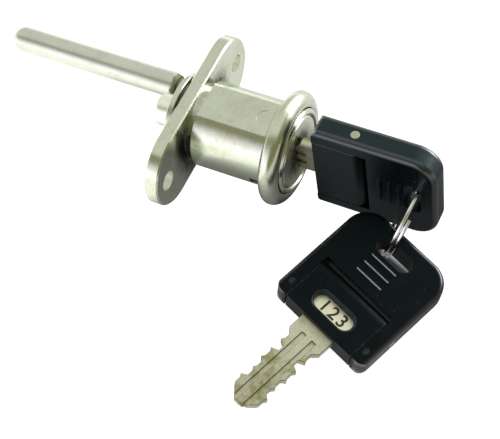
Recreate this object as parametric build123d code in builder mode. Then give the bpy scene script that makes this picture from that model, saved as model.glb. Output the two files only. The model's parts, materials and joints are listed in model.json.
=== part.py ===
"""Pedestal lock: a round die-cast wafer lock with a screw flange, an eccentric drive pin behind it,
a folding key in the keyway and a second folding key joined to it by a split ring.

Frame: millimetres. The origin lies on the lock's axis, in the front face of the flange.
+X runs along the flange, +Y to the rear, and +Z is up, along the upright keyway.
"""

import os
from math import asin, cos, degrees, radians, sin

from build123d import *

os.makedirs("parts", exist_ok=True)

# Clearances
running = 0.05
side_play = 0.15
seat_gap = 0.05

# Housing: barrel, neck and flange, one die casting
barrel_radius = 9.0
barrel_length = 22.0
barrel_wall = 2.55
mouth_wall = 1.3
flat_depth = 1.0
flat_end = 16.9
neck_length = 1.7
rim_chamfer = 0.4
flange_length = 41.2
flange_width = 17.0
flange_thickness = 3.0
flange_chamfer = 0.3
screw_spacing = 32.0
screw_hole_radius = 2.1
mark_radius = 2.1
mark_depth = 0.12
mark_setback = 1.5

# Trim ring that hooks into two slots of the barrel
ring_gap = 0.2
ring_width = 2.85
ring_front_rise = 2.3
ring_rear_rise = 1.5
ring_setback = 0.5
ring_front_lip = 0.15
lug_angle = 12.0
lug_width = 1.5
lug_length = 2.9
lug_depth = 0.9
lug_play = 0.1
slot_length = 3.9
slot_from_rim = 3.5

# Plug that turns in the barrel, with its head in the barrel's mouth
plug_head_play = 0.1
plug_head_depth = 2.0
plug_setback = 0.1
plug_end_stand = 0.45
plug_head_chamfer = 0.3
tail_square = 4.8
spigot_radius = 1.5
spigot_length = 3.0

# Driver behind the flange
disc_thickness = 1.2
washer_margin = 0.8
washer_thickness = 0.4
pin_margin = 2.38
pin_angle = -4.0
pin_radius = 2.8
pin_neck_radius = 2.0
pin_neck_length = 4.2
pin_shoulder_radius = 2.4
pin_shoulder_past_cap = 0.25
pin_tip = 49.2
cap_gap = 0.32
cap_length = 5.4
cap_fillet = 1.2
small_chamfer = 0.15

# Stop pin, in the flat on the lower side, and the half-turn groove that it runs in
stop_radius = 1.0
stop_setback = 3.6
stop_depth = 1.2

# Key blade
blade_width = 8.0
blade_thickness = 2.0
blade_length = 21.3
blade_exposed = 4.4
groove_width = 1.1
groove_depth = 0.45
groove_start = 2.6
groove_near = 1.0
groove_far = 1.6
keyway_clearance = 0.12
keyway_margin = 0.6
first_cut = 5.3
cut_pitch = 2.6
cut_flat = 1.2
cut_half_widths = (2.9, 1.95, 3.0, 2.6, 2.5, 3.2)
cut_peak = 0.45
tip_half_width = 1.0
tip_length = 1.9
tang_half_width = 7.0
tang_start = 0.8
tang_length = 6.1

# Key head and carrier
head_width = 24.0
head_length = 26.0
head_thickness = 5.45
front_corner = 1.9
rear_corner = 5.3
head_fillet = 1.3
head_overrun = 4.0
carrier_half_width = 8.73
hinge_setback = 8.5
hinge_radius = 1.05
carrier_end_gap = 0.38
carrier_fillet = 0.3
window_length = 9.4
window_width = 3.6
window_centre = 4.3
rim_width = 0.35
rim_depth = 0.35
eye_setback = 4.9
eye_length = 8.7
eye_width = 3.7
rib_length = 6.8
rib_width = 0.6
rib_height = 0.3
rib_pitch = 2.1
rib_start = 14.2
rib_count = 3
mould_mark_radius = 0.7
mould_mark_depth = 0.12
mould_mark_setback = 2.9
mould_mark_inset = 1.1

# Wafers and their springs
wafer_count = len(cut_half_widths) - 1
wafer_thickness = 1.0
wafer_half_width = 2.5
wafer_travel = 0.7
wafer_groove_wall = 0.7
wafer_side_play = 0.1
wafer_groove_play = 0.25
window_play = 0.15
lug_reach = 1.4
lug_half_height = 0.5
spring_radius = 0.55
spring_wire = 0.24
spring_play = 0.1
spring_coils = 2
spring_pitch = 1.44

# Split ring and the lie of the second key
split_radius = 9.14
split_wire = 0.4
split_wire_sides = 6
split_pitch = 0.9
split_turns = 1.9
split_tilt = 18.6
split_yaw = -1.5
split_end_angle = 235.4
split_centre_from_eye = (-2.66, 1.85, -6.09)
eye_2_from_split = (-10.22, -1.62, -1.72)
key_2_heading = -21.1
key_2_roll = 12.2


# Sizes that follow from the ones above
bore_radius = barrel_radius - barrel_wall
plug_radius = bore_radius - running
mouth_radius = barrel_radius - mouth_wall
plug_head_radius = mouth_radius - plug_head_play
mouth_depth = plug_head_depth + plug_setback + seat_gap
flat_height = barrel_radius - flat_depth
disc_radius = barrel_radius
washer_radius = disc_radius - washer_margin
pin_offset = disc_radius - pin_margin
cap_radius = pin_offset - pin_radius - cap_gap
ring_inner_radius = barrel_radius + ring_gap
ring_outer_radius = ring_inner_radius + ring_width
plug_front = barrel_length - plug_setback
plug_rear = flange_thickness + plug_end_stand
disc_rear = plug_rear + disc_thickness
pin_full = disc_rear + cap_length + pin_shoulder_past_cap
wafer_radius = plug_radius - running
wafer_slot = wafer_thickness + 2 * wafer_side_play
spring_pocket = 2 * (spring_radius + spring_play) + spring_wire
head_front = plug_front + blade_exposed
eye_from_front = head_length - eye_setback
slot_half_width = carrier_half_width + side_play
fork_depth = hinge_setback + head_thickness / 2 + carrier_end_gap
blade_grooves = ((-1, groove_near), (-1, -groove_far), (1, -groove_near), (1, groove_far))
wafer_centres = [head_front - first_cut - cut_pitch * (number + 1) for number in range(wafer_count)]

key_1_plane = Plane(origin=(0, -head_front, 0), x_dir=(0, 0, 1), z_dir=(1, 0, 0))
eye_1 = key_1_plane.from_local_coords((0, eye_from_front, 0))
split_centre = eye_1 + Vector(*split_centre_from_eye)
split_normal = Vector(
    sin(radians(split_yaw)),
    cos(radians(split_yaw)) * cos(radians(split_tilt)),
    cos(radians(split_yaw)) * sin(radians(split_tilt)),
)
eye_2 = split_centre + Vector(*eye_2_from_split)
length_dir_2 = Vector(cos(radians(key_2_heading)), sin(radians(key_2_heading)), 0)
level_dir_2 = Vector(-sin(radians(key_2_heading)), cos(radians(key_2_heading)), 0)
width_dir_2 = level_dir_2 * cos(radians(key_2_roll)) + Vector(0, 0, sin(radians(key_2_roll)))
key_2_plane = Plane(
    origin=eye_2 - length_dir_2 * eye_from_front,
    x_dir=width_dir_2,
    z_dir=width_dir_2.cross(length_dir_2),
)


def front_plane(depth):
    """The plane across the axis that lies depth in front of the flange face; x stays X and y is Z."""
    return Plane.XZ.offset(depth)


def finish_part(part, label):
    """Label a finished piece and write its file."""
    part.label = label
    export_step(part, f"parts/{label}.step")


def least_gap(curve, turns_count, wire):
    """The least clear distance between neighbouring turns of a coil, measured on points along it."""
    steps = 60 * turns_count
    points = [curve @ (step / steps) for step in range(int(steps) + 1)]
    distances = []
    for index, point in enumerate(points):
        for other in points[index + 30:]:
            distances.append((point - other).length)
    return min(distances) - wire


def blade_section(gap):
    """The warded cross-section of the blade, with gap added all round for the keyway."""
    Rectangle(blade_thickness + 2 * gap, blade_width + 2 * gap)
    for side, height in blade_grooves:
        with Locations((side * (blade_thickness / 2 + gap), height)):
            Rectangle(2 * groove_depth, groove_width - 2 * gap, mode=Mode.SUBTRACT)


def blade_edge(side):
    """The points of one cut edge, from the head to the tip; side is 1 or -1."""
    points = [(side * blade_width / 2, 0.0)]
    points.append((side * blade_width / 2, -(first_cut - cut_flat / 2 - 1.1)))
    for number, half_width in enumerate(cut_half_widths):
        centre = first_cut + cut_pitch * number
        points.append((side * half_width, -(centre - cut_flat / 2)))
        points.append((side * half_width, -(centre + cut_flat / 2)))
        if number < wafer_count:
            peak = max(half_width, cut_half_widths[number + 1]) + cut_peak
            points.append((side * min(peak, blade_width / 2), -(centre + cut_pitch / 2)))
    points.append((side * cut_half_widths[-1] * 0.9, -(blade_length - tip_length)))
    points.append((side * tip_half_width, -blade_length))
    return points


# Housing
with BuildPart() as housing:
    with BuildSketch(front_plane(-flange_thickness)):
        SlotOverall(flange_length, flange_width)
    extrude(amount=flange_thickness)
    rims = housing.edges().group_by(Axis.Y)
    chamfer(rims[0] + rims[-1], flange_chamfer)
    with BuildSketch(Plane.XY):
        with BuildLine():
            Polyline(
                (0, flange_thickness / 2),
                (flat_height, flange_thickness / 2),
                (flat_height, -neck_length),
                (barrel_radius, -neck_length),
                (barrel_radius, -barrel_length),
                (0, -barrel_length),
                close=True,
            )
        make_face()
    revolve(axis=Axis.Y)
    with BuildSketch(front_plane(-flange_thickness)):
        Circle(bore_radius)
        with GridLocations(screw_spacing, 0, 2, 1):
            Circle(screw_hole_radius)
    extrude(amount=flange_thickness + barrel_length, mode=Mode.SUBTRACT)
    with BuildSketch(front_plane(barrel_length)):
        Circle(mouth_radius)
    extrude(amount=-mouth_depth, mode=Mode.SUBTRACT)
    chamfer(housing.faces().filter_by(Axis.Y).group_by(Axis.Y)[0].edges(), rim_chamfer)
    # the two flats of the barrel
    with BuildSketch(front_plane(neck_length)):
        with GridLocations(0, 2 * (flat_height + barrel_radius), 1, 2):
            Rectangle(4 * barrel_radius, 2 * barrel_radius)
    extrude(amount=flat_end - neck_length, mode=Mode.SUBTRACT)
    # the round casting mark on the upper flat
    with BuildSketch(Plane.XY.offset(flat_height - mark_depth)):
        with Locations((0, -(flat_end - mark_setback))):
            Circle(mark_radius)
    extrude(amount=barrel_radius, mode=Mode.SUBTRACT)
    # the wafers' grooves above and below the plug
    with BuildSketch(front_plane(min(wafer_centres) - cut_pitch / 2)):
        Rectangle(2 * (wafer_half_width + wafer_groove_play), 2 * (flat_height - wafer_groove_wall))
    extrude(amount=wafer_count * cut_pitch - 2 * wafer_side_play, mode=Mode.SUBTRACT)
    # the trim ring's slots
    with BuildSketch(front_plane(barrel_length - slot_from_rim)):
        with PolarLocations(barrel_radius, 2, start_angle=180 + lug_angle):
            Rectangle(2 * (lug_depth + lug_play), lug_width + lug_play)
    extrude(amount=-slot_length, mode=Mode.SUBTRACT)
    # the stop pin's hole
    with BuildSketch(Plane.XY.offset(-plug_radius + stop_depth)):
        with Locations((0, -stop_setback)):
            Circle(stop_radius)
    extrude(amount=-barrel_radius, mode=Mode.SUBTRACT)
finish_part(housing.part, "housing")

# Trim ring: a rounded section, with two lugs on the inside that hook into the slots
ring_widest = barrel_length - ring_setback - ring_front_rise
ring_rear = ring_widest - ring_rear_rise
ring_front = ring_widest + ring_front_rise
ring_shoulder = ring_outer_radius - ring_front_rise
with BuildPart() as trim_ring:
    with BuildSketch(Plane.XY):
        with BuildLine():
            nose = Line(
                (ring_inner_radius, -ring_rear),
                (ring_inner_radius, ring_front_lip - ring_front),
            )
            front = Line(nose @ 1, (ring_shoulder, -ring_front))
            belly = RadiusArc(front @ 1, (ring_outer_radius, -ring_widest), -ring_front_rise)
            back = RadiusArc(
                belly @ 1, (ring_outer_radius - ring_rear_rise, -ring_rear), -ring_rear_rise
            )
            Line(back @ 1, nose @ 0)
        make_face()
    revolve(axis=Axis.Y)
    with BuildSketch(front_plane(barrel_length - slot_from_rim - lug_play)):
        with PolarLocations(barrel_radius, 2, start_angle=180 + lug_angle):
            Rectangle(2 * lug_depth, lug_width)
    extrude(amount=-(lug_length + lug_play))
    # the lugs lie flush with the barrel's wall behind the ring
    with BuildSketch(front_plane(ring_rear - seat_gap)):
        Circle(3 * barrel_radius)
        Circle(barrel_radius - lug_play, mode=Mode.SUBTRACT)
    extrude(amount=-2 * lug_length, mode=Mode.SUBTRACT)
finish_part(trim_ring.part, "trim_ring")

# Stop pin
with BuildPart() as stop_pin:
    with BuildSketch(Plane.XY.offset(-plug_radius + stop_depth - running)):
        with Locations((0, -stop_setback)):
            Circle(stop_radius)
    extrude(amount=-(flat_height - plug_radius + stop_depth - 2 * running))
    chamfer(stop_pin.edges().group_by(Axis.Z)[0], small_chamfer)
finish_part(stop_pin.part, "stop_pin")

# Thrust washer
with BuildPart() as thrust_washer:
    with BuildSketch(front_plane(-flange_thickness)):
        Circle(washer_radius)
        Circle(bore_radius, mode=Mode.SUBTRACT)
    extrude(amount=-washer_thickness)
finish_part(thrust_washer.part, "thrust_washer")

# Plug
with BuildPart() as plug_core:
    with BuildSketch(Plane.XY):
        with BuildLine():
            Polyline(
                (0, plug_rear),
                (plug_radius, plug_rear),
                (plug_radius, -(plug_front - plug_head_depth)),
                (plug_head_radius, -(plug_front - plug_head_depth)),
                (plug_head_radius, -plug_front),
                (0, -plug_front),
                close=True,
            )
        make_face()
    revolve(axis=Axis.Y)
    chamfer(plug_core.edges().group_by(Axis.Y)[0], plug_head_chamfer)
    with BuildSketch(front_plane(-plug_rear)):
        Rectangle(tail_square, tail_square)
    extrude(amount=-disc_thickness)
    with BuildSketch(front_plane(-disc_rear)):
        Circle(spigot_radius)
    extrude(amount=-spigot_length)
    # the keyway
    with BuildSketch(front_plane(plug_front)):
        blade_section(keyway_clearance)
    extrude(amount=-(blade_length - blade_exposed + keyway_margin), mode=Mode.SUBTRACT)
    # a slot across the plug for each wafer, its side pocket and the spring's pocket
    for number, depth in enumerate(wafer_centres):
        rise = 1 if number % 2 == 0 else -1
        lug_x = wafer_half_width + lug_reach / 2
        with BuildSketch(front_plane(depth - wafer_slot / 2)):
            Rectangle(2 * (wafer_half_width + wafer_side_play), 4 * plug_radius)
            with Locations((lug_x, rise * wafer_travel / 2)):
                Rectangle(
                    lug_reach + 2 * wafer_side_play,
                    2 * (lug_half_height + window_play) + wafer_travel,
                )
        extrude(amount=wafer_slot, mode=Mode.SUBTRACT)
        with BuildSketch(Plane.XY.offset(-rise * lug_half_height)):
            with Locations((lug_x, -depth)):
                Rectangle(spring_pocket, spring_pocket)
        extrude(amount=-rise * (spring_coils * spring_pitch + spring_wire), mode=Mode.SUBTRACT)
    # the stop pin's groove: half a turn, round at both ends
    groove_reach = plug_radius - stop_depth - running
    with BuildSketch(Plane.YZ):
        with Locations((-stop_setback, -plug_radius)):
            Rectangle(2 * (stop_radius + running), 2 * (plug_radius - groove_reach))
    revolve(axis=Axis((0, 0, 0), (0, -1, 0)), revolution_arc=180, mode=Mode.SUBTRACT)
    with BuildSketch(Plane.XY.offset(groove_reach)):
        with Locations((0, -stop_setback)):
            Circle(stop_radius + running)
    extrude(amount=plug_radius, mode=Mode.SUBTRACT)
    with BuildSketch(Plane.XY.offset(-groove_reach)):
        with Locations((0, -stop_setback)):
            Circle(stop_radius + running)
    extrude(amount=-plug_radius, mode=Mode.SUBTRACT)
finish_part(plug_core.part, "plug_core")

# Driver disc
pin_x = pin_offset * cos(radians(pin_angle))
pin_z = pin_offset * sin(radians(pin_angle))
with BuildPart() as driver_disc:
    with BuildSketch(front_plane(-plug_rear)):
        Circle(disc_radius)
    extrude(amount=-disc_thickness)
    chamfer(driver_disc.edges().filter_by(GeomType.CIRCLE), small_chamfer)
    with BuildSketch(front_plane(-plug_rear)):
        Rectangle(tail_square, tail_square)
        with Locations((pin_x, pin_z)):
            Circle(pin_neck_radius)
    extrude(amount=-disc_thickness, mode=Mode.SUBTRACT)
finish_part(driver_disc.part, "driver_disc")

# Drive pin: riveted into the disc, necked, with a tapered shoulder and a round end
with BuildPart() as drive_pin:
    with BuildSketch(front_plane(-plug_rear)):
        with Locations((pin_x, pin_z)):
            Circle(pin_neck_radius)
    extrude(amount=-(disc_thickness + pin_neck_length))
    with BuildSketch(front_plane(-(disc_rear + pin_neck_length))):
        with Locations((pin_x, pin_z)):
            Circle(pin_shoulder_radius)
    with BuildSketch(front_plane(-pin_full)):
        with Locations((pin_x, pin_z)):
            Circle(pin_radius)
    loft()
    with BuildSketch(front_plane(-pin_full)):
        with Locations((pin_x, pin_z)):
            Circle(pin_radius)
    extrude(amount=-(pin_tip - pin_radius - pin_full))
    with Locations((pin_x, pin_tip - pin_radius, pin_z)):
        Sphere(pin_radius)
finish_part(drive_pin.part, "drive_pin")

# Retaining cap on the plug's tail
with BuildPart() as retaining_cap:
    with BuildSketch(front_plane(-disc_rear)):
        Circle(cap_radius)
    extrude(amount=-cap_length)
    fillet(retaining_cap.edges().group_by(Axis.Y)[-1], cap_fillet)
    with BuildSketch(front_plane(-disc_rear)):
        Circle(spigot_radius)
    extrude(amount=-spigot_length, mode=Mode.SUBTRACT)
finish_part(retaining_cap.part, "retaining_cap")

# Wafers, sprung up and down by turns, and their springs
for number, depth in enumerate(wafer_centres):
    rise = 1 if number % 2 == 0 else -1
    lug_x = wafer_half_width + lug_reach / 2
    with BuildPart() as wafer:
        with BuildSketch(front_plane(depth - wafer_thickness / 2)):
            Circle(wafer_radius)
            Rectangle(2 * wafer_half_width, 4 * plug_radius, mode=Mode.INTERSECT)
            with Locations((0, -rise * wafer_travel / 2)):
                Rectangle(
                    blade_thickness + 2 * (keyway_clearance + window_play),
                    blade_width + 2 * window_play + wafer_travel,
                    mode=Mode.SUBTRACT,
                )
            with Locations((lug_x - wafer_side_play, 0)):
                Rectangle(lug_reach, 2 * lug_half_height)
        extrude(amount=wafer_thickness)
    finish_part(wafer.part, f"wafer_{number + 1}")

    spring_height = spring_coils * spring_pitch
    base = lug_half_height + spring_height + spring_wire / 2
    with BuildPart() as spring:
        with BuildLine(Plane((lug_x, -depth, -base if rise > 0 else lug_half_height + spring_wire / 2))):
            coil = Helix(spring_pitch, spring_height, spring_radius)
        with BuildSketch(Plane(origin=coil @ 0, z_dir=coil % 0)):
            RegularPolygon(spring_wire / 2, 4)
        sweep(is_frenet=True)
    finish_part(spring.part, f"wafer_spring_{number + 1}")
print("least gap between a wafer spring's coils", least_gap(coil, spring_coils, spring_wire))


def make_blade(frame, label):
    """The metal blade with the tang that the carrier is moulded round."""
    with BuildPart() as blade:
        with BuildSketch(frame.offset(-blade_thickness / 2)):
            with BuildLine():
                edge = blade_edge(1)
                tang = (
                    (-blade_width / 2, tang_start),
                    (-tang_half_width, tang_start),
                    (-tang_half_width, tang_start + tang_length),
                    (tang_half_width, tang_start + tang_length),
                    (tang_half_width, tang_start),
                    (blade_width / 2, tang_start),
                )
                Polyline(*edge, *reversed(blade_edge(-1)), *tang, close=True)
            make_face()
        extrude(amount=blade_thickness)
        with BuildSketch(Plane(origin=frame.from_local_coords((0, -groove_start, 0)),
                               x_dir=frame.z_dir, z_dir=frame.y_dir)):
            for side, height in blade_grooves:
                with Locations((side * blade_thickness / 2, height)):
                    Rectangle(2 * groove_depth, groove_width)
        extrude(amount=-blade_length, mode=Mode.SUBTRACT)
    finish_part(blade.part, label)


def make_carrier(frame, label, window_face):
    """The moulded carrier round the tang: full round about the hinge, with a window on one face."""
    half = head_thickness / 2
    window_depth = half - blade_thickness / 2
    with BuildPart() as carrier:
        side_plane = Plane(origin=frame.from_local_coords((-carrier_half_width, 0, 0)),
                           x_dir=frame.y_dir, z_dir=frame.x_dir)
        with BuildSketch(side_plane):
            with BuildLine():
                Polyline((hinge_setback, -half), (0, -half), (0, half), (hinge_setback, half))
                ThreePointArc((hinge_setback, half), (hinge_setback + half, 0), (hinge_setback, -half))
            make_face()
        extrude(amount=2 * carrier_half_width)
        front_face = carrier.faces().sort_by(Axis(frame.origin, frame.y_dir))[0]
        fillet(front_face.edges(), carrier_fillet)
        # the window, down to the tang, and the sunk rim round it
        with BuildSketch(frame.offset(window_face * half)):
            with Locations((0, window_centre)):
                SlotOverall(window_length, window_width)
        extrude(amount=-window_face * window_depth, mode=Mode.SUBTRACT)
        with BuildSketch(frame.offset(window_face * half)):
            with Locations((0, window_centre)):
                SlotOverall(window_length + 2 * rim_width, window_width + 2 * rim_width)
        extrude(amount=-window_face * rim_depth, mode=Mode.SUBTRACT)
        # the pocket that holds the tang, and the hinge bore
        with BuildSketch(frame.offset(-blade_thickness / 2)):
            with Locations((0, tang_start + tang_length / 2)):
                Rectangle(2 * tang_half_width, tang_length)
            Rectangle(blade_width, 3 * tang_start)
        extrude(amount=blade_thickness, mode=Mode.SUBTRACT)
        with BuildSketch(side_plane):
            with Locations((hinge_setback, 0)):
                Circle(hinge_radius + running)
        extrude(amount=2 * carrier_half_width, mode=Mode.SUBTRACT)
    finish_part(carrier.part, label)


def make_head(frame, label, window_face):
    """The forked grip: a soft-edged flat moulding with a key-ring eye and plain ribs on both faces."""
    half = head_thickness / 2
    with BuildPart() as head:
        # the soft edges run past the front, which is cut square afterwards
        with BuildSketch(frame.offset(-half)) as outline:
            with Locations((0, (head_length - head_overrun) / 2)):
                Rectangle(head_width, head_length + head_overrun)
            fillet(outline.vertices().group_by(Axis.Y)[-1], rear_corner)
        extrude(amount=head_thickness)
        fillet(head.faces().filter_by(Axis(frame.origin, frame.z_dir)).edges(), head_fillet)
        with BuildSketch(frame.offset(-half)) as front_outline:
            with Locations((0, head_length)):
                Rectangle(head_width, 2 * head_length)
            fillet(front_outline.vertices().group_by(Axis.Y)[0], front_corner)
        extrude(amount=head_thickness, mode=Mode.INTERSECT)
        # the fork and the eye
        with BuildSketch(frame.offset(-half)):
            Rectangle(2 * slot_half_width, 2 * fork_depth)
            with Locations((0, eye_from_front)):
                SlotOverall(eye_length, eye_width)
        extrude(amount=head_thickness, mode=Mode.SUBTRACT)
        hinge_plane = Plane(origin=frame.from_local_coords((-head_width, hinge_setback, 0)),
                            x_dir=frame.y_dir, z_dir=frame.x_dir)
        with BuildSketch(hinge_plane):
            Circle(hinge_radius)
        extrude(amount=2 * head_width, mode=Mode.SUBTRACT)
        # the grip ribs on both faces
        for face in (-1, 1):
            with BuildSketch(frame.offset(face * half)):
                for rib in range(rib_count):
                    with Locations((0, rib_start + rib_pitch * rib)):
                        Rectangle(rib_length, rib_width)
            extrude(amount=face * rib_height)
        # the ejector marks, on the side of the window
        with BuildSketch(frame.offset(window_face * (half - mould_mark_depth))):
            with Locations((0, mould_mark_setback)):
                with GridLocations(2 * (slot_half_width + mould_mark_inset), 0, 2, 1):
                    Circle(mould_mark_radius)
        extrude(amount=window_face * head_thickness, mode=Mode.SUBTRACT)
    finish_part(head.part, label)


def make_hinge_pin(frame, label):
    """The steel pin across the fork."""
    with BuildPart() as pin:
        end = head_width / 2 - running
        with BuildSketch(Plane(origin=frame.from_local_coords((-end, hinge_setback, 0)),
                               x_dir=frame.y_dir, z_dir=frame.x_dir)):
            Circle(hinge_radius)
        extrude(amount=2 * end)
        chamfer(pin.edges().filter_by(GeomType.CIRCLE), small_chamfer)
    finish_part(pin.part, label)


for key, frame, window_face in (("key_1", key_1_plane, 1), ("key_2", key_2_plane, -1)):
    make_blade(frame, f"{key}_blade")
    make_carrier(frame, f"{key}_carrier", window_face)
    make_head(frame, f"{key}_head", window_face)
    make_hinge_pin(frame, f"{key}_hinge_pin")

# Split ring: a flat left-handed coil of nearly two turns
split_height = split_turns * split_pitch
split_plane = Plane(origin=split_centre, x_dir=(1, 0, 0), z_dir=split_normal)
with BuildPart() as key_ring:
    with BuildLine():
        coil = Helix(
            split_pitch,
            split_height,
            split_radius,
            center=(0, 0, -split_height / 2),
            lefthand=True,
            mode=Mode.PRIVATE,
        )
        turns = coil.rotate(Axis.Z, split_end_angle).moved(split_plane.location)
        add(turns)
    with BuildSketch(Plane(origin=turns @ 0, z_dir=turns % 0)):
        RegularPolygon(split_wire, split_wire_sides)
    sweep(is_frenet=True)
finish_part(key_ring.part, "key_ring")
print("least gap between the split ring's turns", least_gap(turns, split_turns, 2 * split_wire))
print("key 1 hinge", key_1_plane.from_local_coords((0, hinge_setback, 0)))
print("key 2 hinge", key_2_plane.from_local_coords((0, hinge_setback, 0)), "along", key_2_plane.x_dir)
print("eyes", eye_1, eye_2, "ring centre", split_centre, "key 2 face", key_2_plane.z_dir)
print("ring normal", split_normal, "ends", turns @ 0, turns @ 1)
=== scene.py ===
"""Looks of a pedestal lock: nickel-plated barrel, flange and trim ring, drive pin, two folding keys
with black grips, and the split ring that joins them. The values below and the shaders' coordinates
are in millimetres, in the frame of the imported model. Meshes and the panel's sizes are in metres.
"""

import json
from math import cos, pi, radians, sin

import bmesh
import bpy
from bpy.props import FloatProperty, FloatVectorProperty, IntProperty, PointerProperty, StringProperty
from mathutils import Matrix, Vector


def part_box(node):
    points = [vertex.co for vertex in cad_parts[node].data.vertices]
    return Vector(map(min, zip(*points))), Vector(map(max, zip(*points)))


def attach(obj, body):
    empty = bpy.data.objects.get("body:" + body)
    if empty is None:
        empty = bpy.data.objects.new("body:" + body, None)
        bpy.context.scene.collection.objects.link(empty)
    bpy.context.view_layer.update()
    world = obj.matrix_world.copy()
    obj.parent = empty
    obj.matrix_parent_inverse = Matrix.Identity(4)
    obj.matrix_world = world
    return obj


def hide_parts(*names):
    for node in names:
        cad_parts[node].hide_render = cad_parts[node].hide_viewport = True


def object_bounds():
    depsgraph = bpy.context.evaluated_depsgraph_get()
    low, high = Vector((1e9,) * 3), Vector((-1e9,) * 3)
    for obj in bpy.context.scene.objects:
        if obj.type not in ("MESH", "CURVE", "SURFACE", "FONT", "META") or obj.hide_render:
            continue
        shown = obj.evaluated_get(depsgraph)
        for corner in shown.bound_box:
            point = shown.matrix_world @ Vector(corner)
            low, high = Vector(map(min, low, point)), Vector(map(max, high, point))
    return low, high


bl_info = {
    "name": "Pedestal Lock",
    "version": (1, 0, 0),
    "blender": (4, 5, 0),
    "location": "View3D > Sidebar > Lock",
    "description": "Builds a flanged pedestal lock with two folding keys, piece by piece",
    "category": "Object",
}

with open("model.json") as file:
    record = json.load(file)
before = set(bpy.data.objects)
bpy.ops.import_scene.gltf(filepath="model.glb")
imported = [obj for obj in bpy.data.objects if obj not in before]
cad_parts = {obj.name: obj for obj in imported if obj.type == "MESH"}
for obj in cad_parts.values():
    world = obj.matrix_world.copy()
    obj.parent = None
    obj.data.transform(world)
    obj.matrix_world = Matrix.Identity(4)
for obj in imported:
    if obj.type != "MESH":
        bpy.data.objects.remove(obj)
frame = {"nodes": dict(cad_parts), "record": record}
cad_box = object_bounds()

MM = 0.001

# Photograph and camera
PHOTO_WIDTH = 500
FOCAL_PIXELS = 1587.4
SENSOR_WIDTH = 36.0
CAMERA_PLACE = (-161.95, -118.67, 259.3)
CAMERA_AIM = (-24.22, -23.45, 10.36)
CAMERA_ROLL = -11.34
NEAREST_SEEN = 10.0

# Light tent: angle round the Y axis from the zenith, as a share of a turn, and the tone there
TENT_STOPS = (
    (0.22, (0.9, 0.9, 0.9)),
    (0.3, (0.74, 0.74, 0.72)),
    (0.55, (0.84, 0.84, 0.8)),
    (0.565, (0.29, 0.28, 0.18)),
    (0.61, (0.33, 0.32, 0.22)),
    (0.66, (1.15, 1.1, 1.3)),
    (0.7, (1.8, 1.7, 1.95)),
    (0.755, (1.9, 1.8, 1.95)),
)

# Bright wall and dark board at the tent's front end: tones, and the parts of the direction to
# them, each from where the wall or board begins to where it is whole
WALL_TONE = (2.2, 2.2, 2.2)
WALL_FRONT = (-0.1, 0.1)
WALL_RIGHT = (0.45, 0.7)
BOARD_TONE = (0.26, 0.245, 0.12)
BOARD_FRONT = (0.05, 0.3)
BOARD_LEFT = (-0.6, -0.42)
BOARD_TOP = (0.6, 0.85)

# Soft box on the right: the way to it, its distance and size in metres, its watts and its colour
BOX_WAY = (0.8, -0.56, 0.19)
BOX_DISTANCE = 0.8
BOX_SIZE = (0.5, 0.4)
BOX_WATTS = 4.5
BOX_COLOUR = (0.97, 0.97, 1.0)

# Floor: half its width and its gap below the lock
FLOOR_HALF = 1500.0
FLOOR_GAP = 0.3
PAPER_TONES = ((0.8, 0.8, 0.8), (0.83, 0.83, 0.82))

# Floor as the metal mirrors it, a glow with painted shade and painted light: its glow under the lock
# (painted shade), beside it and behind it (painted light) and under the trim ring (painted shade), and
# the edges of these parts, each from where the part begins to where it is whole
SHADED_FLOOR = 0.2
LIT_FLOOR = 0.93
REAR_LIT_GLOW = 1.5
RING_SHADE_GLOW = 0.05
LIT_RIGHT = (8.0, 22.0)
LIT_LEFT = (5.0, 60.0)
LIT_REAR = (0.0, 22.0)
LIT_FRONT = (80.0, 130.0)
KEYS_FRONT = (38.0, 50.0)
KEYS_RIGHT = (25.0, 50.0)
KEYS_SHADE = 0.8
REAR_WHOLE = (22.0, 44.0)
REAR_CORNER = (3.0, 12.0)
REAR_CORNER_LEFT = (8.0, 26.0)
RING_SHADE_PLACE = (-4.0, -20.0)
RING_SHADE_X = (2.0, 7.0)
RING_SHADE_Y = (3.0, 9.0)

# Painted shade on the paper close under the second key's head, where the head's eye shows it: its
# tone, its place on the key, how far it looks for the head, and the open share of its sky from dark to
# pale
UNDER_KEY_SHADE_TONE = (0.085, 0.115, 0.12)
COVERED_MIDDLE = 15.0
COVERED_ALONG = (9.0, 12.0)
COVERED_ACROSS = (7.0, 10.0)
COVER_REACH = 20.0
COVER_OPEN = (0.55, 0.75)

# Nickel plate: where it has yellowed, the tone of the shade painted into its hollows, and the bare
# casting
TARNISH = (0.45, 0.45, 0.27)
PLATE_SHADE_TONE = (0.07, 0.065, 0.04)
BARE_ZINC = (0.86, 0.87, 0.76)
CAST_ROUGHNESS = 0.13
TURNED_ROUGHNESS = 0.19

# Places on the lock: distances from its axis, and heights, from full painted shade to none
NECK_LENGTH = 1.7
NECK_SHADE_REACH = (8.6, 13.5)
NECK_SHADE_TOP = (2.5, 7.0)
LUG_SHADE = (8.95, 9.1)
KEYWAY_SHADE = (2.5, 6.8)
PIN_SHOULDER = 10.2

# The flange's screw holes, with a margin that takes in their walls
FIXING = next(mount for mount in frame["record"]["mounts"] if mount["name"] == "flange_fixing")
FLANGE_HOLE_PLACE = FIXING["dims"]["spacing_x_mm"] / 2
FLANGE_HOLE_RADIUS = FIXING["dims"]["hole_r_mm"] + 0.05
BORE_MARGIN = 0.15
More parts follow.
